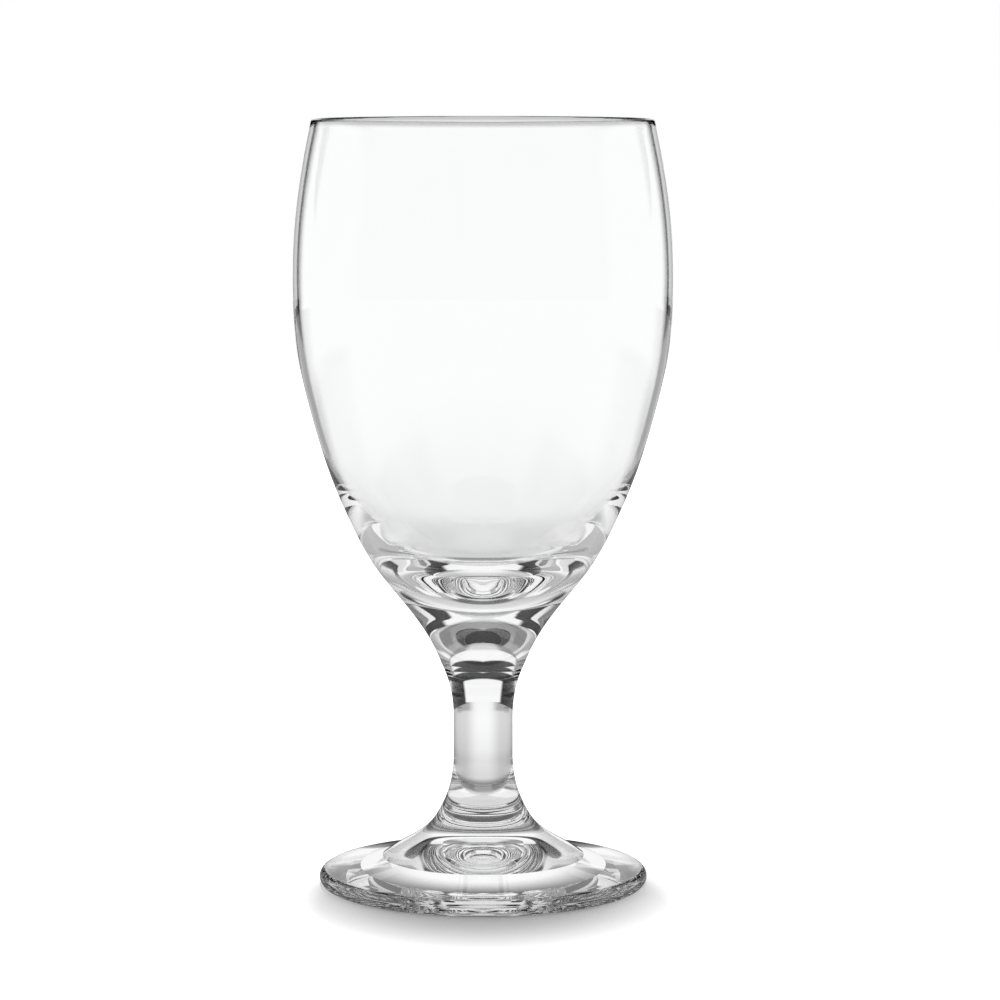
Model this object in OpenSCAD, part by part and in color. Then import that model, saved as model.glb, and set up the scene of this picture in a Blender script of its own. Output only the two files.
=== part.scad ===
// Water goblet in clear glass: a deep bowl on a short solid stem and a round foot.
// The bowl, the stem and the foot are three pieces of glass, fused end to end.
// Each is one profile turned about the Z axis, and the table is at Z = 0.
//
// A profile runs through stations. A station is [radius, height, lean], and lean is
// the angle in degrees between the outline and straight down: above zero where the
// outline widens on its way down, below zero where it narrows.

/* [Bowl] */
// Height of the bowl, from the neck joint to the top of the rim
bowl_h = 125.7; // [122:0.2:130]
// Outside diameter across the rim
rim_d = 79; // [76:0.2:82]
// Lean of the wall where it meets the rim
rim_lean = 12; // [8:1:16]
// Thickness of the fire-polished rim
rim_t = 1.5; // [1.2:0.1:1.9]
// Outside diameter at the belly, the widest place
belly_d = 87.6; // [85:0.2:90]
// Height of the belly above the neck joint
belly_rise = 88.8; // [86:0.5:92]
// Wall thickness at the belly
belly_wall = 1.4; // [1.2:0.1:2]
// Outside diameter of the flank, where the belly has turned inwards
flank_d = 81; // [79:0.2:83]
// Height of the flank above the neck joint
flank_rise = 61.4; // [59:0.2:64]
// Lean of the wall at the flank
flank_lean = -14.5; // [-18:0.5:-11]
// Wall thickness at the flank
flank_wall = 1.6; // [1.4:0.1:2.2]
// Outside diameter of the hip, below which the wall thickens towards the floor
hip_d = 63.6; // [62:0.2:66]
// Height of the hip above the neck joint
hip_rise = 35.4; // [33:0.2:38]
// Lean of the outside at the hip
hip_lean = -24.5; // [-28:0.5:-21]
// Thickness of the glass at the hip, measured level
hip_wall = 2.9; // [2.3:0.1:3.8]
// Lean of the inside at the hip
hip_in_lean = -34; // [-39:0.5:-28]
// Outside diameter of the shoulder, beside the thick floor of the bowl
shoulder_d = 45.2; // [43:0.2:48]
// Height of the shoulder above the neck joint
shoulder_rise = 19.2; // [18:0.2:21]
// Lean of the outside at the shoulder
shoulder_lean = -39; // [-42:0.5:-36]
// Inside diameter of the well, the rounded bottom of the bowl
well_d = 35.2; // [32:0.2:38]
// Height of the well's edge above its lowest point
well_depth = 5.8; // [4.8:0.1:6.8]
// Lean of the inside at the well's edge
well_lean = -62; // [-68:1:-54]
// Depth of solid glass between the neck joint and the lowest point of the inside
floor_t = 17.6; // [15.5:0.1:19]

/* [Stem] */
// Height of the stem piece, from the foot joint to the neck joint
stem_h = 35.8; // [33:0.1:40]
// Diameter of the neck joint, which the bowl and the stem share
neck_d = 19.6; // [18:0.2:21]
// Lean of the bowl's outside just above the neck joint
neck_lean = -21; // [-26:0.5:-16]
// Lean of the stem's outside just below the neck joint
collar_lean = -26; // [-30:0.5:-20]
// Diameter of the straight part of the stem
stem_d = 13.8; // [12.6:0.1:15]
// Length of the flare from the neck joint down to the straight part
upper_flare = 13.2; // [11:0.1:15]
// Length of the flare from the straight part down to the foot joint
lower_flare = 14.2; // [12:0.1:16]

/* [Foot] */
// Height of the foot piece, from the table to the foot joint
foot_h = 16.5; // [15.5:0.1:18]
// Diameter of the foot
foot_d = 76.4; // [72:0.2:80]
// Diameter of the foot joint, which the stem and the foot share
boss_d = 21.6; // [20:0.2:23]
// Lean of the outside at the foot joint
boss_lean = 31; // [27:1:35]
// Diameter of the crease where the foot's cone meets its flat brim
crease_d = 47; // [44:0.2:50]
// Height of the crease above the table
crease_h = 6.8; // [6.2:0.1:7.6]
// Lean of the cone where it reaches the crease
cone_lean = 52.5; // [48:0.5:57]
// Lean of the brim where it leaves the crease
brim_lean = 75; // [71:1:79]
// Lean of the brim where it meets the rounded edge
edge_lean = 80; // [76:1:84]
// Radius of the rounded edge
edge_r = 2; // [1.6:0.1:2.3]
// Width of the flat ring that the glass stands on
ring_w = 8.5; // [7:0.1:10]
// Depth of the hollow under the foot
hollow_h = 8; // [6:0.1:9]
// Lean of the hollow where it meets the ring
hollow_lean = 72; // [66:1:76]

/* [Smoothness] */
// Number of pieces in each span between two stations
span_steps = 12; // [6:1:24]
// Number of pieces in each rounded edge
round_steps = 8; // [4:1:16]
// Number of pieces in a full turn
turn_steps = 96; // [48:8:160]

/* [Hidden] */

// Share of the distance between two stations that each curve handle takes
handle_share = 0.36;
// Lean of an outline that runs straight down, and of one that runs level
plumb = 0;
level_in = -90;
level_out = 90;
// Tint of the clear glass
glass_tint = [0.93, 0.95, 0.96, 0.45];

// Heights above the table
neck_z = foot_h + stem_h;
rim_z = neck_z + bowl_h;

// Stations of the bowl's outside, from the rim down
rim_bead = [(rim_d - rim_t) / 2, rim_z - rim_t / 2];
rim_out = on_round(rim_bead, rim_t / 2, rim_lean);
belly_out = [belly_d / 2, neck_z + belly_rise, plumb];
flank_out = [flank_d / 2, neck_z + flank_rise, flank_lean];
hip_out = [hip_d / 2, neck_z + hip_rise, hip_lean];
shoulder_out = [shoulder_d / 2, neck_z + shoulder_rise, shoulder_lean];
neck_out = [neck_d / 2, neck_z, neck_lean];

// Stations of the bowl's inside, from the rim down to the middle of the floor
rim_in = on_round(rim_bead, -rim_t / 2, rim_lean);
belly_in = [belly_d / 2 - belly_wall, neck_z + belly_rise, plumb];
flank_in = [flank_d / 2 - flank_wall, neck_z + flank_rise, flank_lean];
hip_in = [hip_d / 2 - hip_wall, neck_z + hip_rise, hip_in_lean];
well_in = [well_d / 2, neck_z + floor_t + well_depth, well_lean];
floor_in = [0, neck_z + floor_t, level_in];

// Stations of the stem, from the neck joint down
collar = [neck_d / 2, neck_z, collar_lean];
stem_top = [stem_d / 2, neck_z - upper_flare, plumb];
stem_base = [stem_d / 2, foot_h + lower_flare, plumb];

// Stations of the foot, from the foot joint out to the edge
boss = [boss_d / 2, foot_h, boss_lean];
cone_end = [crease_d / 2, crease_h, cone_lean];
brim_start = [crease_d / 2, crease_h, brim_lean];
edge_mid = [foot_d / 2 - edge_r, edge_r];
brim_end = on_round(edge_mid, edge_r, edge_lean);

// Stations of the hollow under the foot, from its middle out to the ring
hollow_top = [0, hollow_h, level_out];
hollow_end = [foot_d / 2 - edge_r - ring_w, 0, hollow_lean];

// Direction in which an outline with this lean runs
function heading(lean) = [sin(lean), -cos(lean)];

// Station on a rounded edge, where the outline has this lean
function on_round(middle, r, lean) =
    [middle[0] + r * cos(lean), middle[1] + r * sin(lean), lean];

// Point of a station, without its lean
function place(station) = [station[0], station[1]];

// Point at t on the smooth curve with these four control points
function curve_point(a, b, c, d, t) =
    pow(1 - t, 3) * a + 3 * t * pow(1 - t, 2) * b + 3 * t * t * (1 - t) * c + pow(t, 3) * d;

// Smooth curve between two stations, without its last point
function span(from, to) =
    let (
        reach = handle_share * norm(place(to) - place(from)),
        leaving = place(from) + reach * heading(from[2]),
        arriving = place(to) - reach * heading(to[2])
    )
    [for (i = [0 : span_steps - 1])
        curve_point(place(from), leaving, arriving, place(to), i / span_steps)];

// Rounded edge between two leans, without its two end points
function rounding(middle, r, lean_a, lean_b) =
    [for (i = [1 : round_steps - 1])
        let (lean = lean_a + (lean_b - lean_a) * i / round_steps)
        middle + r * [cos(lean), sin(lean)]];

function reversed(list) = [for (i = [len(list) - 1 : -1 : 0]) list[i]];

// Turns a profile about the Z axis
module turned(profile) {
    color(glass_tint)
    rotate_extrude($fn = turn_steps)
    polygon(profile);
}

// Thin-walled bowl with a deep solid floor that ends in the neck joint
module bowl() {
    inside = concat(
        span(rim_in, belly_in),
        span(belly_in, flank_in),
        span(flank_in, hip_in),
        span(hip_in, well_in),
        span(well_in, floor_in),
        [place(floor_in)]
    );
    outside = concat(
        span(rim_out, belly_out),
        span(belly_out, flank_out),
        span(flank_out, hip_out),
        span(hip_out, shoulder_out),
        span(shoulder_out, neck_out),
        [place(neck_out)]
    );
    rim_round = rounding(rim_bead, rim_t / 2, 180 + rim_lean, rim_lean);
    turned(concat(reversed(inside), rim_round, outside, [[0, neck_z]]));
}

// Solid stem, flared into the bowl above and into the foot below
module stem() {
    turned(concat(
        [[0, neck_z]],
        span(collar, stem_top),
        [place(stem_top)],
        span(stem_base, boss),
        [place(boss), [0, foot_h]]
    ));
}

// Cone and brim with a rounded edge, domed hollow underneath
module foot() {
    turned(concat(
        [[0, foot_h]],
        span(boss, cone_end),
        span(brim_start, brim_end),
        [place(brim_end)],
        rounding(edge_mid, edge_r, edge_lean, level_in),
        [[edge_mid[0], 0], place(hollow_end)],
        reversed(span(hollow_top, hollow_end))
    ));
}

bowl();
stem();
foot();
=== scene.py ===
import math

import bpy
from bpy.props import FloatProperty, FloatVectorProperty, IntProperty, PointerProperty
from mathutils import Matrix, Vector


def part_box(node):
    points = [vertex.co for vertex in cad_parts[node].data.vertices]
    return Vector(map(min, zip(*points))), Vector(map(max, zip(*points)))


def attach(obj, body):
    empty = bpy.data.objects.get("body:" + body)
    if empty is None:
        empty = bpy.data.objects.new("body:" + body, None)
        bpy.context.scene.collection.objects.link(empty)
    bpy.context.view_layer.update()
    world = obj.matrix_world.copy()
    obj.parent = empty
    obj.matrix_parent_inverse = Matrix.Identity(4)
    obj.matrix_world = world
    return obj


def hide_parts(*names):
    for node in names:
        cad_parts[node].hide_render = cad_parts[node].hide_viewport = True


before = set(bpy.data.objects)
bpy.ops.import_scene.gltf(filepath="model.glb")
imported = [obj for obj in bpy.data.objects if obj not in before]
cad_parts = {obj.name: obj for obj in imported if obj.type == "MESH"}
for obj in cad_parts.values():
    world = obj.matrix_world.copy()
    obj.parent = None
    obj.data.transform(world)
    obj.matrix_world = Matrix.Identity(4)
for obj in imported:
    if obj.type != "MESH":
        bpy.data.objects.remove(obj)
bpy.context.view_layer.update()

bl_info = {
    "name": "Water Goblet",
    "version": (1, 0, 0),
    "blender": (4, 5, 0),
    "location": "View3D > Sidebar > Goblet",
    "description": "Builds a clear glass water goblet from turned profiles, on a plain white table",
    "category": "Add Mesh",
}

FOOT_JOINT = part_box("foot")[1].z
NECK_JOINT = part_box("stem")[1].z
BOWL_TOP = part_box("bowl")[1].z

# Points this close together, in metres, are one point
SAME_PLACE = 2e-6
# Two faces that meet at more than this angle keep a sharp edge between them
REAL_EDGE = math.radians(12)

# Leans of an outline that runs straight down, level and outwards, and level and inwards
UPRIGHT = 0.0
LEVEL_OUT = math.radians(90)
LEVEL_IN = math.radians(-90)


def length(name, description, metres):
    """A length or a height, shown in the scene's units."""
    return FloatProperty(name=name, description=description, default=metres,
                         min=0, precision=5, subtype="DISTANCE", unit="LENGTH")


def size(name, description, millimetres):
    """A length that is given in millimetres."""
    return length(name, description, millimetres / 1000)


def lean(name, description, degrees):
    """An angle between the outline and straight down, above zero where the outline widens."""
    return FloatProperty(name=name, description=description, default=math.radians(degrees),
                         subtype="ANGLE", unit="ROTATION")


def place(name, description, spot):
    """A point in the scene, in metres."""
    return FloatVectorProperty(name=name, description=description, default=spot, size=3,
                               subtype="TRANSLATION", unit="LENGTH")


def share(name, description, value, highest=1.0):
    """A plain number between zero and a highest value."""
    return FloatProperty(name=name, description=description, default=value, min=0, max=highest)


class GobletBowlSizes(bpy.types.PropertyGroup):
    """Sizes of the bowl."""
    rim_height: length("Rim Height", "Height of the top of the rim above the table", BOWL_TOP)
    joint_height: length("Joint Height", "Height of the neck joint above the table", NECK_JOINT)
    rim_diameter: size("Rim Diameter", "Outside diameter across the rim", 79)
    rim_thickness: size("Rim Thickness", "Thickness of the fire-polished rim", 1.5)
    rim_lean: lean("Rim Lean", "Lean of the wall where it meets the rim", 12)
    belly_diameter: size("Belly Diameter", "Outside diameter at the widest place", 87.6)
    belly_rise: size("Belly Rise", "Height of the belly above the neck joint", 88.8)
    belly_wall: size("Belly Wall", "Wall thickness at the belly", 1.4)
    flank_diameter: size("Flank Diameter", "Outside diameter below the belly", 81)
    flank_rise: size("Flank Rise", "Height of the flank above the neck joint", 61.4)
    flank_lean: lean("Flank Lean", "Lean of the wall at the flank", -14.5)
    flank_wall: size("Flank Wall", "Wall thickness at the flank", 1.6)
    hip_diameter: size("Hip Diameter", "Outside diameter where the wall starts to thicken", 63.6)
    hip_rise: size("Hip Rise", "Height of the hip above the neck joint", 35.4)
    hip_lean: lean("Hip Lean", "Lean of the outside at the hip", -24.5)
    hip_wall: size("Hip Wall", "Thickness of the glass at the hip, measured level", 2.9)
    hip_inside_lean: lean("Hip Inside Lean", "Lean of the inside at the hip", -34)
    shoulder_diameter: size("Shoulder Diameter", "Outside diameter beside the solid floor", 45.2)
    shoulder_rise: size("Shoulder Rise", "Height of the shoulder above the neck joint", 19.2)
    shoulder_lean: lean("Shoulder Lean", "Lean of the outside at the shoulder", -39)
    well_diameter: size("Well Diameter", "Inside diameter of the rounded bottom", 35.2)
    well_depth: size("Well Depth", "Height of the well's edge above its lowest point", 5.8)
    well_lean: lean("Well Lean", "Lean of the inside at the well's edge", -62)
    floor_thickness: size("Floor Thickness", "Solid glass under the lowest inside point", 17.6)
    joint_diameter: size("Neck Diameter", "Diameter of the neck joint", 19.6)
    joint_lean: lean("Neck Lean", "Lean of the outside just above the neck joint", -21)


class GobletStemSizes(bpy.types.PropertyGroup):
    """Sizes of the stem."""
    top_height: length("Top Height", "Height of the neck joint above the table", NECK_JOINT)
    base_height: length("Base Height", "Height of the foot joint above the table", FOOT_JOINT)
    top_diameter: size("Top Diameter", "Diameter of the neck joint", 19.6)
    top_lean: lean("Top Lean", "Lean of the outside just below the neck joint", -26)
    stem_diameter: size("Stem Diameter", "Diameter of the straight part", 13.8)
    upper_flare: size("Upper Flare", "Length of the flare below the neck joint", 13.2)
    lower_flare: size("Lower Flare", "Length of the flare above the foot joint", 14.2)
    base_diameter: size("Base Diameter", "Diameter of the foot joint", 21.6)
    base_lean: lean("Base Lean", "Lean of the outside at the foot joint", 31)


class GobletFootSizes(bpy.types.PropertyGroup):
    """Sizes of the foot."""
    joint_height: length("Joint Height", "Height of the foot joint above the table", FOOT_JOINT)
    joint_diameter: size("Joint Diameter", "Diameter of the foot joint", 21.6)
    joint_lean: lean("Joint Lean", "Lean of the outside at the foot joint", 31)
    crease_diameter: size("Crease Diameter", "Diameter where the cone meets the brim", 47)
    crease_height: size("Crease Height", "Height of the crease above the table", 6.8)
    cone_lean: lean("Cone Lean", "Lean of the cone where it reaches the crease", 52.5)
    brim_lean: lean("Brim Lean", "Lean of the brim where it leaves the crease", 75)
    foot_diameter: size("Foot Diameter", "Diameter of the foot", 76.4)
    edge_radius: size("Edge Radius", "Radius of the rounded edge", 2)
    edge_lean: lean("Edge Lean", "Lean of the brim where it meets the edge", 80)
    ring_width: size("Ring Width", "Width of the flat ring that the glass stands on", 8.5)
    hollow_height: size("Hollow Height", "Depth of the hollow under the foot", 8)
    hollow_lean: lean("Hollow Lean", "Lean of the hollow where it meets the ring", 72)


class GobletGlassFinish(bpy.types.PropertyGroup):
    """Look of the glass."""
    tint: FloatVectorProperty(name="Tint", description="Colour of the light that comes through",
                              subtype="COLOR", size=3, min=0, max=1, default=(0.985, 0.988, 0.988))
    index: share("Index of Refraction", "How strongly the glass bends light", 1.52, 3.0)
    # Painted shade: share of the tint that is left on the rim's bead and the foot's edge, which are
    # coloured darker
    painted_shade_share: share("Edge Share", "Share of that light at the rim and the foot's edge", 0.6)
    wave_size: size("Wave Size", "Distance between the slow waves that the mould leaves", 16)
    wave_depth: FloatProperty(name="Wave Depth", description="Height of those waves",
                              default=0.00002, min=0, precision=6,
                              subtype="DISTANCE", unit="LENGTH")


class GobletFineness(bpy.types.PropertyGroup):
    """Roundness of the curves, and how finely they are divided."""
    handle_share: share("Handle Share", "Share of a span that each curve handle takes", 0.36)
    span_rows: IntProperty(name="Span Rows", description="Rows of faces in each span",
                           default=22, min=2)
    round_rows: IntProperty(name="Round Rows", description="Rows of faces in each rounded edge",
                            default=14, min=2)
    turn_steps: IntProperty(name="Turn Steps", description="Faces in a full turn",
                            default=224, min=12)


class GobletStageSettings(bpy.types.PropertyGroup):
    """Table, light and camera."""
    table_radius: size("Table Radius", "Radius of the white table top", 1500)
    table_colour: FloatVectorProperty(name="Table Colour", description="Colour of the table top",
                                      default=(0.9, 0.9, 0.9), size=3, min=0, max=1,
                                      subtype="COLOR")
    table_glow: share("Table Glow", "White that the camera sees on top of the lit table", 0.13)
    sky_light: share("Sky Light", "Soft light from all round", 0.35, 2.0)
    lamp_power: FloatProperty(name="Lamp Power", description="Power of the soft lamp overhead",
                              subtype="POWER", unit="POWER", default=11.5, min=0)
    lamp_size: size("Lamp Size", "Width of the soft lamp", 160)
    lamp_place: place("Lamp Place", "Where the lamp hangs", (-0.02, 0.22, 1.3))
    lamp_aim: place("Lamp Aim", "Where the lamp points", (0, 0, 0.05))
    camera_place: place("Camera Place", "Where the camera of the photograph stood",
                        (0.00392, -0.9, 0.193))
    camera_tilt: FloatProperty(name="Camera Tilt", description="How far the camera looks down",
                               subtype="ANGLE", unit="ROTATION", default=math.radians(6.521))
    camera_lens: FloatProperty(name="Camera Lens", description="Focal length of the camera",
                               unit="CAMERA", default=140.9, min=1)
    light_bounces: IntProperty(name="Light Bounces", default=24, min=1,
                               description="How often light may bend or bounce in the glass")


class Value:
    """A node's output, with operators that add Math nodes to its tree."""

    def __init__(self, maker, socket):
        self.maker = maker
        self.socket = socket

    def __add__(self, other):
        return self.maker.math("ADD", self, other)

    def __radd__(self, other):
        return self.maker.math("ADD", other, self)

    def __sub__(self, other):
        return self.maker.math("SUBTRACT", self, other)

    def __rsub__(self, other):
        return self.maker.math("SUBTRACT", other, self)

    def __mul__(self, other):
        return self.maker.math("MULTIPLY", self, other)

    def __rmul__(self, other):
        return self.maker.math("MULTIPLY", other, self)

    def __truediv__(self, other):
        return self.maker.math("DIVIDE", self, other)

    def __rtruediv__(self, other):
        return self.maker.math("DIVIDE", other, self)

    def __neg__(self):
        return self.maker.math("MULTIPLY", self, -1.0)

    def __gt__(self, other):
        return self.maker.math("GREATER_THAN", self, other)

    def __lt__(self, other):
        return self.maker.math("LESS_THAN", self, other)

    def __abs__(self):
        return self.maker.math("ABSOLUTE", self)


class Maker:
    """Adds nodes to one tree."""

    def __init__(self, tree):
        self.tree = tree

    def node(self, kind, settings=None, *values, **named):
        """A node of this type: its settings come first, then its sockets, in order or by name."""
        made = self.tree.nodes.new(kind)
        for name, value in (settings or {}).items():
            setattr(made, name, value)
        for socket, value in zip(made.inputs, values):
            self.feed(socket, value)
        for name, value in named.items():
            self.feed(self.find(made.inputs, name), value)
        return made

    def find(self, sockets, name):
        """The socket with this name that is in use. An underscore stands for a space."""
        wanted = name.replace("_", " ").lower()
        for socket in sockets:
            if socket.enabled and socket.name.lower() == wanted:
                return socket
        raise KeyError(f"no socket named {name!r}")

    def feed(self, socket, value):
        """Gives a socket its link or its value."""
        if isinstance(value, Value):
            value = value.socket
        if isinstance(value, bpy.types.NodeSocket):
            self.tree.links.new(value, socket)
        else:
            socket.default_value = value

    def out(self, made, name=None):
        """An output of a node by its name, or else the first."""
        return Value(self, self.find(made.outputs, name) if name else made.outputs[0])

    def math(self, operation, *values):
        return self.out(self.node("ShaderNodeMath", {"operation": operation}, *values))

    def sin(self, value):
        return self.math("SINE", value)

    def cos(self, value):
        return self.math("COSINE", value)

    def root(self, value):
        return self.math("SQRT", value)

    def larger(self, first, second):
        return self.math("MAXIMUM", first, second)

    def ramp(self, value, start, end, low=0.0, high=1.0):
        """Goes smoothly from low to high as the value goes from start to end."""
        made = self.node("ShaderNodeMapRange", {"interpolation_type": "SMOOTHSTEP"}, Value=value,
                         From_Min=start, From_Max=end, To_Min=low, To_Max=high)
        return self.out(made, "Result")

    def between(self, share_of_second, first, second):
        return first + share_of_second * (second - first)

    def mixed(self, share_of_second, first, second):
        """Colour between two colours."""
        made = self.node("ShaderNodeMix", {"data_type": "RGBA"}, Factor=share_of_second,
                         A=first, B=second)
        return self.out(made, "Result")

    def parts(self, vector):
        """X, Y and Z of a vector."""
        made = self.node("ShaderNodeSeparateXYZ", Vector=vector)
        return [self.out(made, axis) for axis in "XYZ"]


class Tree(Maker):
    """A Geometry Nodes tree with named inputs for its sizes."""

    def __init__(self, name):
        super().__init__(bpy.data.node_groups.new(name, "GeometryNodeTree"))
        self.entry = self.tree.nodes.new("NodeGroupInput")
        self.exit = self.tree.nodes.new("NodeGroupOutput")

    def entrance(self, name, kind="NodeSocketFloat", subtype=None):
        """A named input of the tree."""
        made = self.tree.interface.new_socket(name=name, in_out="INPUT", socket_type=kind)
        if subtype:
            made.subtype = subtype
        return Value(self, self.entry.outputs[made.identifier])

    def finish(self, geometry):
        """Ends the tree in this geometry."""
        made = self.tree.interface.new_socket(name="Geometry", in_out="OUTPUT",
                                              socket_type="NodeSocketGeometry")
        self.feed(self.exit.inputs[made.identifier], geometry)
        return self.tree

    def group(self, tree, *values):
        """Another tree inside this one, its inputs in their order."""
        return self.out(self.node("GeometryNodeGroup", {"node_tree": tree}, *values))

    def turned(self, radius, rise, rows, steps):
        """A sheet turned about the Z axis. Radius and rise are functions of a share of the way."""
        grid = self.node("GeometryNodeMeshGrid", Size_X=1.0, Size_Y=1.0, Vertices_X=steps + 1,
                         Vertices_Y=rows + 1)
        # The grid is one unit wide about its middle, so half a unit more gives shares from 0 to 1
        x, y, _ = self.parts(self.out(self.node("GeometryNodeInputPosition")))
        around = (x + 0.5) * math.tau
        along = y + 0.5
        r = radius(along)
        spot = self.node("ShaderNodeCombineXYZ", X=r * self.cos(around), Y=r * self.sin(around),
                         Z=rise(along))
        moved = self.node("GeometryNodeSetPosition", Geometry=self.out(grid, "Mesh"),
                          Position=self.out(spot))
        return self.out(moved, "Geometry")


def span_tree():
    """Sheet of glass between two stations of a profile, along one smooth curve."""
    tree = Tree("turned span")
    first = [tree.entrance(name, subtype=kind) for name, kind in
             (("Start Radius", "DISTANCE"), ("Start Height", "DISTANCE"), ("Start Lean", "ANGLE"))]
    last = [tree.entrance(name, subtype=kind) for name, kind in
            (("End Radius", "DISTANCE"), ("End Height", "DISTANCE"), ("End Lean", "ANGLE"))]
    handle = tree.entrance("Handle Share")
    rows = tree.entrance("Rows", "NodeSocketInt")
    steps = tree.entrance("Turn Steps", "NodeSocketInt")
    across, drop = last[0] - first[0], first[1] - last[1]
    reach = handle * tree.root(across * across + drop * drop)
    leaving = first[0] + reach * tree.sin(first[2]), first[1] - reach * tree.cos(first[2])
    arriving = last[0] - reach * tree.sin(last[2]), last[1] + reach * tree.cos(last[2])

    def curve(a, b, c, d):
        def at(t):
            rest = 1 - t
            return (rest * rest * rest * a + 3 * (rest * rest * t) * b
                    + 3 * (rest * t * t) * c + t * t * t * d)
        return at

    sheet = tree.turned(curve(first[0], leaving[0], arriving[0], last[0]),
                        curve(first[1], leaving[1], arriving[1], last[1]), rows, steps)
    return tree.finish(sheet)


def round_tree():
    """Sheet of glass round an edge, from one lean to another."""
    tree = Tree("turned edge")
    middle = tree.entrance("Middle Radius", subtype="DISTANCE")
    rise = tree.entrance("Middle Height", subtype="DISTANCE")
    bend = tree.entrance("Edge Radius", subtype="DISTANCE")
    start = tree.entrance("Start Lean", subtype="ANGLE")
    end = tree.entrance("End Lean", subtype="ANGLE")
    rows = tree.entrance("Rows", "NodeSocketInt")
    steps = tree.entrance("Turn Steps", "NodeSocketInt")
    sheet = tree.turned(lambda t: middle + bend * tree.cos(start + t * (end - start)),
                        lambda t: rise + bend * tree.sin(start + t * (end - start)), rows, steps)
    return tree.finish(sheet)


class PieceTree(Tree):
    """Tree of one piece: its sizes are the inputs, and its sheets become one closed skin."""

    def __init__(self, name, sizes, fineness):
        super().__init__(name)
        self.values = []
        self.size = {}
        for group in (sizes, fineness):
            for key, prop in group.bl_rna.properties.items():
                if prop.type not in ("FLOAT", "INT"):
                    continue
                kind = "NodeSocketInt" if prop.type == "INT" else "NodeSocketFloat"
                subtype = prop.subtype if prop.subtype in ("DISTANCE", "ANGLE") else None
                self.size[key] = self.entrance(prop.name, kind, subtype=subtype)
                self.values.append(getattr(group, key))
        self.span_sheet = bpy.data.node_groups.get("turned span") or span_tree()
        self.round_sheet = bpy.data.node_groups.get("turned edge") or round_tree()
        self.sheets = []
        self.joint_heights = []

    def span(self, first, last):
        s = self.size
        self.sheets.append(self.group(self.span_sheet, *first, *last, s["handle_share"],
                                      s["span_rows"], s["turn_steps"]))

    def spans(self, stations):
        for first, last in zip(stations, stations[1:]):
            self.span(first, last)

    def edge(self, middle, bend, start, end):
        s = self.size
        self.sheets.append(self.group(self.round_sheet, *middle, bend, start, end, s["round_rows"],
                                      s["turn_steps"]))

    def joint(self, rise, radius, outwards):
        """Flat face where two pieces are fused."""
        level = LEVEL_OUT if outwards else LEVEL_IN
        ends = [(0.0, rise, level), (radius, rise, level)]
        self.spans(ends if outwards else ends[::-1])
        self.joint_heights.append(rise)

    def close(self, glass, fused):
        """One skin, facing outwards, smooth but at its real edges, in its two materials."""
        joined = self.node("GeometryNodeJoinGeometry")
        for sheet in reversed(self.sheets):
            self.feed(joined.inputs[0], sheet)
        skin = self.out(self.node("GeometryNodeMergeByDistance", Geometry=self.out(joined),
                                  Distance=SAME_PLACE))
        skin = self.out(self.node("GeometryNodeFlipFaces", Mesh=skin))
        bend = self.out(self.node("GeometryNodeInputMeshEdgeAngle"), "Unsigned Angle")
        skin = self.out(self.node("GeometryNodeSetShadeSmooth", {"domain": "FACE"}, Geometry=skin,
                                  Shade_Smooth=True))
        skin = self.out(self.node("GeometryNodeSetShadeSmooth", {"domain": "EDGE"}, Geometry=skin,
                                  Selection=bend > REAL_EDGE, Shade_Smooth=False))
        skin = self.out(self.node("GeometryNodeRealizeInstances", Geometry=skin))
        skin = self.out(self.node("GeometryNodeSetMaterial", Geometry=skin, Material=glass))
        _, _, rise = self.parts(self.out(self.node("GeometryNodeInputPosition")))
        for level in self.joint_heights:
            skin = self.out(self.node("GeometryNodeSetMaterial", Geometry=skin,
                                      Selection=abs(rise - level) < SAME_PLACE, Material=fused))
        return self.finish(skin)


def added(name, data):
    """A new object with this data, in the scene."""
    made = bpy.data.objects.new(name, data)
    bpy.context.scene.collection.objects.link(made)
    return made


def turned_piece(name, tree, values):
    """Runs a piece's tree on an empty mesh and keeps the result as a plain mesh."""
    holder = added(name + "_tree", bpy.data.meshes.new(name + "_empty"))
    modifier = holder.modifiers.new("Turned", "NODES")
    modifier.node_group = tree
    inputs = [item for item in tree.interface.items_tree if item.in_out == "INPUT"]
    for item, value in zip(inputs, values):
        modifier[item.identifier] = value
    shot = holder.evaluated_get(bpy.context.evaluated_depsgraph_get())
    mesh = bpy.data.meshes.new_from_object(shot)
    mesh.name = name
    piece = added(name, mesh)
    holder.modifiers.remove(modifier)
    bpy.data.objects.remove(holder)
    return piece


def on_edge(middle, bend, angle, tree):
    """Station on a rounded edge, where the outline has this lean."""
    return middle[0] + bend * tree.cos(angle), middle[1] + bend * tree.sin(angle), angle


def empty_tree(owner):
    """The cleared node tree of a material or a world."""
    owner.use_nodes = True
    owner.node_tree.nodes.clear()
    return Maker(owner.node_tree)


# Faint marks of the mould: how many to a wave, how high beside it, and how rough at most
MARKS_PER_WAVE = 9
MARK_HEIGHT_SHARE = 0.04
MARK_ROUGHNESS = 0.012
# Share of the tint that is left where the glass is clearest
CLEAREST_SHARE = 0.8
# Heights between which the painted shade fades in on the rim's bead, and radii between which it
# fades in on the foot's edge
RIM_SHADE_BLEND = BOWL_TOP - 0.0016, BOWL_TOP - 0.0006
EDGE_SHADE_BLEND = 0.0325, 0.037


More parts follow.
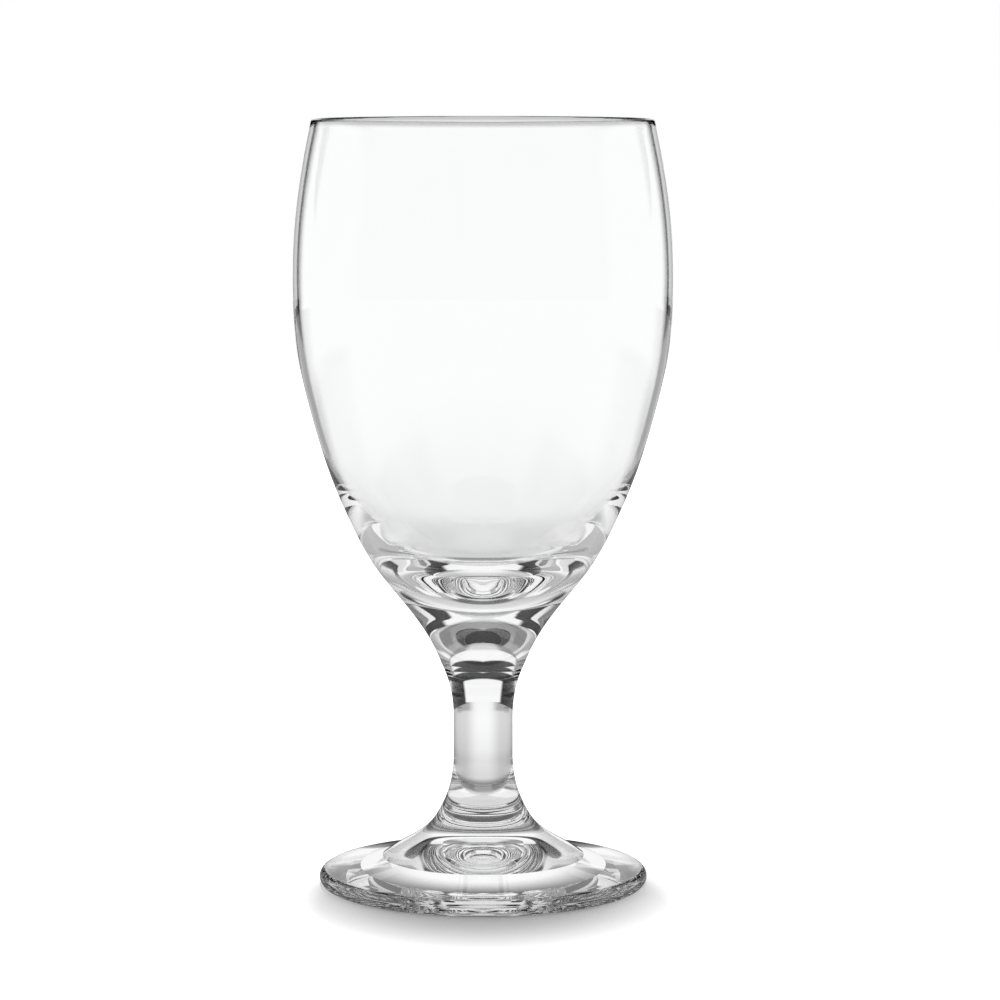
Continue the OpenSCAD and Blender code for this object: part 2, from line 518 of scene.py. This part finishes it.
def clear_glass():
    """Clear glass: hardly any tint, a mould's slow waves and faint marks, and painted shade at rim
    and foot edge.
    """
    found = bpy.data.materials.get("clear_glass_finish")
    if found:
        return found
    look = bpy.context.scene.goblet_finish
    material = bpy.data.materials.new("clear_glass_finish")
    m = empty_tree(material)
    spot = m.out(m.node("ShaderNodeTexCoord"), "Object")
    slow = m.out(m.node("ShaderNodeTexNoise", Vector=spot, Scale=1 / look.wave_size, Detail=1.0,
                        Roughness=0.4), "Fac")
    fine = m.out(m.node("ShaderNodeTexNoise", Vector=spot, Scale=MARKS_PER_WAVE / look.wave_size,
                        Detail=2.0, Roughness=0.5), "Fac")
    bump = m.node("ShaderNodeBump", Strength=1.0, Distance=look.wave_depth,
                  Height=slow + MARK_HEIGHT_SHARE * fine)
    clearest = [1 - CLEAREST_SHARE * (1 - c) for c in look.tint]
    clear = m.mixed(m.ramp(slow, 0.3, 0.7), (*look.tint, 1), (*clearest, 1))
    # Painted shade: the rim's bead and the foot's edge are coloured darker, in place of the dark
    # that refraction shows
    x, y, rise = m.parts(spot)
    rim = m.ramp(rise, *RIM_SHADE_BLEND)
    edge = m.ramp(m.root(x * x + y * y), *EDGE_SHADE_BLEND) * (rise < FOOT_JOINT)
    painted_shade_colour = [look.painted_shade_share * c for c in look.tint]
    shader = m.node("ShaderNodeBsdfPrincipled", Base_Color=m.mixed(rim + edge, clear, (*painted_shade_colour, 1)),
                    Roughness=m.ramp(fine, 0.45, 0.8, 0.0, MARK_ROUGHNESS), IOR=look.index,
                    Transmission_Weight=1.0, Normal=m.out(bump))
    m.node("ShaderNodeOutputMaterial", Surface=m.out(shader))
    return material


def fused_face():
    """Inside the glass, where two pieces are melted together and nothing is seen."""
    found = bpy.data.materials.get("fused_joint")
    if found:
        return found
    material = bpy.data.materials.new("fused_joint")
    m = empty_tree(material)
    unseen = m.node("ShaderNodeBsdfTransparent", Color=(1, 1, 1, 1))
    m.node("ShaderNodeOutputMaterial", Surface=m.out(unseen))
    return material


def seat(tree, node):
    """Builds a piece, which stands for its CAD node, moves with the one body and is clear glass."""
    piece = turned_piece(node + "_glass", tree.close(clear_glass(), fused_face()), tree.values)
    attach(piece, "root")
    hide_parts(node)


class GOBLET_OT_bowl(bpy.types.Operator):
    """Thin bowl with a deep solid floor, turned from one profile"""
    bl_idname = "goblet.bowl"
    bl_label = "Bowl"

    def execute(self, context):
        tree = PieceTree("bowl profile", context.scene.goblet_bowl, context.scene.goblet_fineness)
        s = tree.size
        bend = s["rim_thickness"] / 2
        bead = (s["rim_diameter"] - s["rim_thickness"]) / 2, s["rim_height"] - bend
        neck = s["joint_height"]
        outside = [
            on_edge(bead, bend, s["rim_lean"], tree),
            (s["belly_diameter"] / 2, neck + s["belly_rise"], UPRIGHT),
            (s["flank_diameter"] / 2, neck + s["flank_rise"], s["flank_lean"]),
            (s["hip_diameter"] / 2, neck + s["hip_rise"], s["hip_lean"]),
            (s["shoulder_diameter"] / 2, neck + s["shoulder_rise"], s["shoulder_lean"]),
            (s["joint_diameter"] / 2, neck, s["joint_lean"]),
        ]
        inside = [
            on_edge(bead, -bend, s["rim_lean"], tree),
            (s["belly_diameter"] / 2 - s["belly_wall"], neck + s["belly_rise"], UPRIGHT),
            (s["flank_diameter"] / 2 - s["flank_wall"], neck + s["flank_rise"], s["flank_lean"]),
            (s["hip_diameter"] / 2 - s["hip_wall"], neck + s["hip_rise"], s["hip_inside_lean"]),
            (s["well_diameter"] / 2, neck + s["floor_thickness"] + s["well_depth"], s["well_lean"]),
            (0.0, neck + s["floor_thickness"], LEVEL_IN),
        ]
        # The inside is walked upwards, so its leans are turned half a turn
        tree.spans([(r, z, math.pi + angle) for r, z, angle in inside[::-1]])
        tree.edge(bead, bend, math.pi + s["rim_lean"], s["rim_lean"])
        tree.spans(outside)
        tree.joint(neck, s["joint_diameter"] / 2, outwards=False)
        seat(tree, "bowl")
        return {"FINISHED"}


class GOBLET_OT_stem(bpy.types.Operator):
    """Short solid stem, flared into the bowl above and the foot below"""
    bl_idname = "goblet.stem"
    bl_label = "Stem"

    def execute(self, context):
        tree = PieceTree("stem profile", context.scene.goblet_stem, context.scene.goblet_fineness)
        s = tree.size
        top, base = s["top_height"], s["base_height"]
        tree.joint(top, s["top_diameter"] / 2, outwards=True)
        tree.spans([
            (s["top_diameter"] / 2, top, s["top_lean"]),
            (s["stem_diameter"] / 2, top - s["upper_flare"], UPRIGHT),
            (s["stem_diameter"] / 2, base + s["lower_flare"], UPRIGHT),
            (s["base_diameter"] / 2, base, s["base_lean"]),
        ])
        tree.joint(base, s["base_diameter"] / 2, outwards=False)
        seat(tree, "stem")
        return {"FINISHED"}


class GOBLET_OT_foot(bpy.types.Operator):
    """Round foot: a cone, a flat brim with a rounded edge, and a hollow underneath"""
    bl_idname = "goblet.foot"
    bl_label = "Foot"

    def execute(self, context):
        tree = PieceTree("foot profile", context.scene.goblet_foot, context.scene.goblet_fineness)
        s = tree.size
        bend = s["edge_radius"]
        middle = s["foot_diameter"] / 2 - bend, bend
        crease = s["crease_diameter"] / 2, s["crease_height"]
        inner = middle[0] - s["ring_width"]
        tree.joint(s["joint_height"], s["joint_diameter"] / 2, outwards=True)
        boss = s["joint_diameter"] / 2, s["joint_height"], s["joint_lean"]
        tree.span(boss, (*crease, s["cone_lean"]))
        tree.span((*crease, s["brim_lean"]), on_edge(middle, bend, s["edge_lean"], tree))
        tree.edge(middle, bend, s["edge_lean"], LEVEL_IN)
        tree.span((middle[0], 0.0, LEVEL_IN), (inner, 0.0, LEVEL_IN))
        # The hollow is walked inwards, so its lean is turned half a turn
        tree.span((inner, 0.0, math.pi + s["hollow_lean"]), (0.0, s["hollow_height"], LEVEL_IN))
        seat(tree, "foot")
        return {"FINISHED"}


# Bends of light at the glass: up to 2 through one wall or the stem, and 4 through both walls
ONE_WALL = 2.5
BOTH_WALLS = 3.5


class Ray:
    """What the light path says of a ray: its kind, and how often it bent and bounced."""

    def __init__(self, m):
        path = m.node("ShaderNodeLightPath")
        self.camera = m.out(path, "Is Camera Ray")
        self.through = m.out(path, "Is Transmission Ray")
        # Light that the glass bends is called glossy too, so it is taken out here
        self.mirrored = m.out(path, "Is Glossy Ray") * (1 - self.through)
        self.soft = m.out(path, "Is Diffuse Ray")
        self.bends = m.out(path, "Transmission Depth")
        self.bounces = m.out(path, "Glossy Depth")
        self.direct = self.bounces < 0.5


def round_axis(m, x, y):
    """Distance from the glass's axis, and degrees round it from straight behind."""
    away = m.root(x * x + y * y)
    return away, m.math("ARCCOSINE", y / away) * math.degrees(1)


def table_in_glass(m, x, away, turn, ray):
    """How bright the glass shows the table, through itself, with painted shadow round the foot."""
    # Through both walls of the empty bowl, from any side, the table is white
    straight = (ray.bends > BOTH_WALLS) * ray.direct
    strip = m.larger(straight, 1 - m.ramp(abs(x), 0.42, 0.5))
    close = 1 - m.ramp(away, 0.042, 0.06)
    oblique = 1 - m.ramp(turn, 45, 58)
    # Behind the glass it is greyer to the sides
    side = 1 - (0.32 * m.ramp(turn, 4, 28) + 0.2 * m.ramp(turn, 30, 75)) * (1 - close)
    # It is greyer still far off, a little to each side of straight behind
    side = side * (1 - 0.4 * m.ramp(away, 0.33, 0.45) * m.ramp(turn, 10, 22) * oblique)
    side = m.larger(straight, side)
    # It is dark beyond the edges of the strip, and dark with painted shadow under the outer part of
    # the foot, but white there to the sides
    painted_foot_shadow = 1 - 0.8 * m.ramp(away, 0.018, 0.026) * close
    # Painted shadow: behind the glass it is greyer close by, and white from 26 cm off
    rear = m.ramp(away, 0.045, 0.26, 0.7, 1.0) * m.between(strip, 0.03, side) * painted_foot_shadow
    rear = m.between((1 - m.ramp(away, 0.037, 0.043)) * m.ramp(turn, 38, 50), rear, 0.9)
    # In front it is white under the stem, dark with painted shadow under the foot's edge and white
    # again far off
    ahead = m.larger(m.ramp(away, 0.016, 0.03, 1.0, 0.05), m.ramp(away, 0.045, 0.24, 0.04, 1.0))
    lit = m.between(m.ramp(turn, 81, 95), rear, ahead)
    # Light that bounced in the glass finds it white far off to the sides
    far = (ray.bounces > 0.5) * m.ramp(away, 0.45, 0.6) * m.ramp(turn, 32, 40)
    return m.between(far, lit, 1.0)


def table_on_glass(m, away, turn):
    """How bright the glass mirrors the table: dark round the foot, white further off."""
    oblique = 1 - m.ramp(turn, 45, 58)
    return m.ramp(away, 0.1, 0.3, 0.15, 1.0) * (1 - 0.7 * oblique * m.ramp(turn, 5, 12))


def table_left_open(m, x, away, turn, ray):
    """Where light from one wall or the stem passes the table, so that the world colours it."""
    zone = m.ramp(away, 0.22, 0.26) * (1 - m.ramp(away, 0.56, 0.62)) * m.ramp(turn, 30, 38)
    zone = zone * (1 - m.ramp(abs(x), 0.4, 0.43))
    return ray.through * (ray.bends < ONE_WALL) * ray.direct * zone


# Half sizes, to the side and towards the camera, of the lamp's shadow that is kept close to the
# foot, and the shares of them between which it fades: painted shadow, by lowering the camera's glow
# there
PAINTED_SHADOW_REACH = 0.054, 0.08
PAINTED_SHADOW_FADE = 0.46, 1.09
# Grain of the table: how fine it is, and how bright its dullest places are
GRAIN_SCALE = 14.0
DULLEST_SHARE = 0.985


def table_look(settings):
    """White table, with painted shadow round the foot. The glass shows it greyer close to the foot,
    and dark beyond its side edges.
    """
    material = bpy.data.materials.new("white_table")
    m = empty_tree(material)
    ray = Ray(m)
    spot = m.out(m.node("ShaderNodeTexCoord"), "Object")
    x, y, _ = m.parts(spot)
    away, turn = round_axis(m, x, y)
    grain = m.out(m.node("ShaderNodeTexNoise", Vector=spot, Scale=GRAIN_SCALE, Detail=3.0), "Fac")
    brightest = settings.table_colour
    dullest = [DULLEST_SHARE * c for c in brightest]
    top = m.node("ShaderNodeBsdfDiffuse", Color=m.mixed(grain, (*dullest, 1), (*brightest, 1)))
    # Painted shadow: the camera's white glow is lowered inside an ellipse round the foot, so that
    # the lamp's real shadow shows only there
    across, along = x / PAINTED_SHADOW_REACH[0], y / PAINTED_SHADOW_REACH[1]
    reach = m.root(across * across + along * along)
    glow_with_painted_shadow = m.ramp(reach, *PAINTED_SHADOW_FADE, settings.table_glow, 1.0)
    white = m.node("ShaderNodeEmission", Color=ray.camera * glow_with_painted_shadow, Strength=1.0)
    bare = m.node("ShaderNodeAddShader", None, m.out(top), m.out(white))
    shown = m.between(ray.mirrored, table_in_glass(m, x, away, turn, ray),
                      table_on_glass(m, away, turn))
    glassy = m.node("ShaderNodeEmission", Color=shown, Strength=1.0)
    by_glass = m.larger(ray.through, ray.mirrored)
    seen = m.node("ShaderNodeMixShader", None, by_glass, m.out(bare), m.out(glassy))
    nothing = m.node("ShaderNodeBsdfTransparent", Color=(1, 1, 1, 1))
    left_open = table_left_open(m, x, away, turn, ray)
    opened = m.node("ShaderNodeMixShader", None, left_open, m.out(seen), m.out(nothing))
    m.node("ShaderNodeOutputMaterial", Surface=m.out(opened))
    return material


# Degrees below and above a card's lower edge over which it takes over from the card below it
CARD_BLUR = 0.8
# Degrees round the glass from straight behind, past which the cards' lower edges stay level
LEVEL_FROM = 60


def cards_overhead(m, turn, rise, seen):
    """Cards above the glass, each from a height that changes steadily to the sides."""
    bright = 1 - 0.7 * m.ramp(turn, 40, 52)
    # Where each card starts above the horizon, how much higher it starts for each degree to the
    # side, and how bright it is
    cards = ((15, 0, 0.04), (20.4, 0.15, bright), (34, 0, 0.28), (56, 0, 0.4), (78, -0.25, 0.04))
    for start, tilt, brightness in cards:
        above = rise - tilt * m.math("MINIMUM", turn, LEVEL_FROM)
        seen = m.between(m.ramp(above, start - CARD_BLUR, start + CARD_BLUR), seen, brightness)
    # Straight behind the glass, the third card is pale
    middle = m.ramp(rise, 30, 36) * (1 - m.ramp(rise, 54, 58)) * (1 - m.ramp(turn, 10, 20))
    return m.between(middle, seen, 0.85)


def room_in_glass(m, turn, rise, ray):
    """How bright the glass shows the room, through itself."""
    # White behind, and a dark card on each side, which is paler low down after many bounces
    paler = (ray.bounces > 2.5) * (1 - m.ramp(rise, 10, 14))
    card = m.ramp(turn, 22, 27) * (1 - m.ramp(turn, 81, 85)) * (1 - 0.8 * paler)
    seen = cards_overhead(m, turn, rise, m.between(card, 1.0, 0.02))
    # In front, the room round the camera
    room = (1 - 0.5 * m.ramp(rise, 18, 26)) * (1 - 0.5 * (ray.bounces > 1.5))
    room = m.between(m.ramp(turn, 125, 140), room, 1.0)
    seen = m.between(m.ramp(turn, 85, 100) * (1 - m.ramp(rise, 60, 66)), seen, room)
    # Low down, both walls of the bowl show white all round, as does light mirrored once inside it
    once = (ray.bends < ONE_WALL) * (ray.bounces < 1.5) * m.ramp(turn, 32, 40)
    inside = m.larger(ray.bends > BOTH_WALLS, (ray.bounces > 0.5) * once)
    inside = inside * (1 - m.ramp(rise, 22, 30))
    seen = m.between(inside, seen, 1 - 0.45 * m.ramp(turn, 92, 102) * (ray.bends < ONE_WALL))
    # Where the table is left open, shallow light finds its grey and steep light finds white
    nearer = m.larger(m.ramp(rise, -7.8, -5.7, 1.0, 0.0), m.ramp(turn, 45, 58))
    grey = (0.68 - 0.2 * m.ramp(turn, 30, 75)) * (0.6 + 0.4 * nearer)
    below = m.ramp(turn, 28, 30) * m.ramp(rise, -4.7, -4.2, 1.0, 0.0)
    below = (ray.bends < ONE_WALL) * ray.direct * below
    return m.between(below, seen, m.between(m.ramp(rise, -16, -12, 1.0, 0.0), grey, 1.0))


def room_on_glass(m, turn, rise):
    """How bright the glass mirrors the room: white, but for cards beside it and in front of it."""
    beside = m.ramp(turn, 10, 14) * (1 - m.ramp(turn, 30, 45))
    ahead = m.ramp(turn, 80, 95) * m.ramp(rise, 26, 34)
    return (1 - beside) * (1 - 0.8 * ahead)


def studio_world(settings):
    """White room. The glass alone shows cards beside it, above it and in front of it."""
    world = bpy.data.worlds.new("studio")
    m = empty_tree(world)
    ray = Ray(m)
    x, y, z = m.parts(m.out(m.node("ShaderNodeTexCoord"), "Generated"))
    _, turn = round_axis(m, x, y)
    rise = m.math("ARCSINE", z) * math.degrees(1)
    through = ray.through * room_in_glass(m, turn, rise, ray)
    mirrored = ray.mirrored * room_on_glass(m, turn, rise)
    shader = m.node("ShaderNodeBackground", Color=(1, 1, 1, 1),
                    Strength=ray.camera + through + mirrored + ray.soft * settings.sky_light)
    m.node("ShaderNodeOutputWorld", Surface=m.out(shader))
    return world


# Corners of the round table, and how far its top lies under the foot, so that they don't coincide
TABLE_CORNERS = 128
TABLE_GAP = 0.00002


def table_top(settings):
    """Round white table under the glass."""
    radius = settings.table_radius
    turns = [math.tau * i / TABLE_CORNERS for i in range(TABLE_CORNERS)]
    mesh = bpy.data.meshes.new("table_top")
    mesh.from_pydata([(radius * math.cos(a), radius * math.sin(a), -TABLE_GAP) for a in turns], [],
                     [tuple(range(TABLE_CORNERS))])
    mesh.materials.append(table_look(settings))
    return added("table_top", mesh)


def overhead_lamp(settings):
    """Soft lamp that makes the shadow on the table, and isn't itself seen in the glass."""
    light = bpy.data.lights.new("overhead", "AREA")
    light.size = settings.lamp_size
    light.energy = settings.lamp_power
    lamp = added("overhead", light)
    lamp.location = settings.lamp_place
    aim = Vector(settings.lamp_aim) - lamp.location
    lamp.rotation_euler = aim.to_track_quat("-Z", "Y").to_euler()
    lamp.visible_camera = lamp.visible_transmission = lamp.visible_glossy = False


def photograph_camera(settings):
    """Camera at the photograph's angle."""
    view = bpy.data.cameras.new("camera")
    view.sensor_width = 36
    view.lens = settings.camera_lens
    camera = added("camera", view)
    camera.location = settings.camera_place
    camera.rotation_euler = (math.radians(90) - settings.camera_tilt, 0, 0)
    bpy.context.scene.camera = camera


class GOBLET_OT_stage(bpy.types.Operator):
    """White table, studio light and the camera at the photograph's angle"""
    bl_idname = "goblet.stage"
    bl_label = "Stage"

    def execute(self, context):
        scene, settings = context.scene, context.scene.goblet_stage
        table = table_top(settings)
        scene.world = studio_world(settings)
        overhead_lamp(settings)
        photograph_camera(settings)
        scene.view_settings.view_transform = "Standard"
        # Light runs on inside solid glass, where a short path would end in black
        scene.cycles.max_bounces = scene.cycles.transmission_bounces = settings.light_bounces
        scene.cycles.glossy_bounces = settings.light_bounces
        return {"FINISHED"}


class GOBLET_PT_panel(bpy.types.Panel):
    """Sizes and pieces of the goblet"""
    bl_label = "Water Goblet"
    bl_idname = "GOBLET_PT_panel"
    bl_space_type = "VIEW_3D"
    bl_region_type = "UI"
    bl_category = "Goblet"

    def draw(self, context):
        self.draw_group(context, "goblet_finish").label(text="Glass")
        self.draw_group(context, "goblet_fineness").label(text="Fineness")
        for operator, group in STEPS:
            self.draw_group(context, group).operator(operator)

    def draw_group(self, context, group):
        """Draws a box with the group's settings, and gives the row above them."""
        box = self.layout.box()
        first_row = box.row()
        settings = getattr(context.scene, group)
        for name in settings.bl_rna.properties.keys():
            if name not in ("rna_type", "name"):
                box.prop(settings, name)
        return first_row


GROUPS = {
    "goblet_finish": GobletGlassFinish,
    "goblet_fineness": GobletFineness,
    "goblet_bowl": GobletBowlSizes,
    "goblet_stem": GobletStemSizes,
    "goblet_foot": GobletFootSizes,
    "goblet_stage": GobletStageSettings,
}
STEPS = (
    ("goblet.bowl", "goblet_bowl"),
    ("goblet.stem", "goblet_stem"),
    ("goblet.foot", "goblet_foot"),
    ("goblet.stage", "goblet_stage"),
)
CLASSES = (*GROUPS.values(), GOBLET_OT_bowl, GOBLET_OT_stem, GOBLET_OT_foot, GOBLET_OT_stage,
           GOBLET_PT_panel)


def register():
    for made in CLASSES:
        bpy.utils.register_class(made)
    for name, group in GROUPS.items():
        setattr(bpy.types.Scene, name, PointerProperty(type=group))


def unregister():
    for name in GROUPS:
        delattr(bpy.types.Scene, name)
    for made in reversed(CLASSES):
        bpy.utils.unregister_class(made)


def main():
    register()
    bpy.ops.goblet.bowl()
    bpy.ops.goblet.stem()
    bpy.ops.goblet.foot()
    bpy.ops.goblet.stage()


if __name__ == "__main__":
    main()
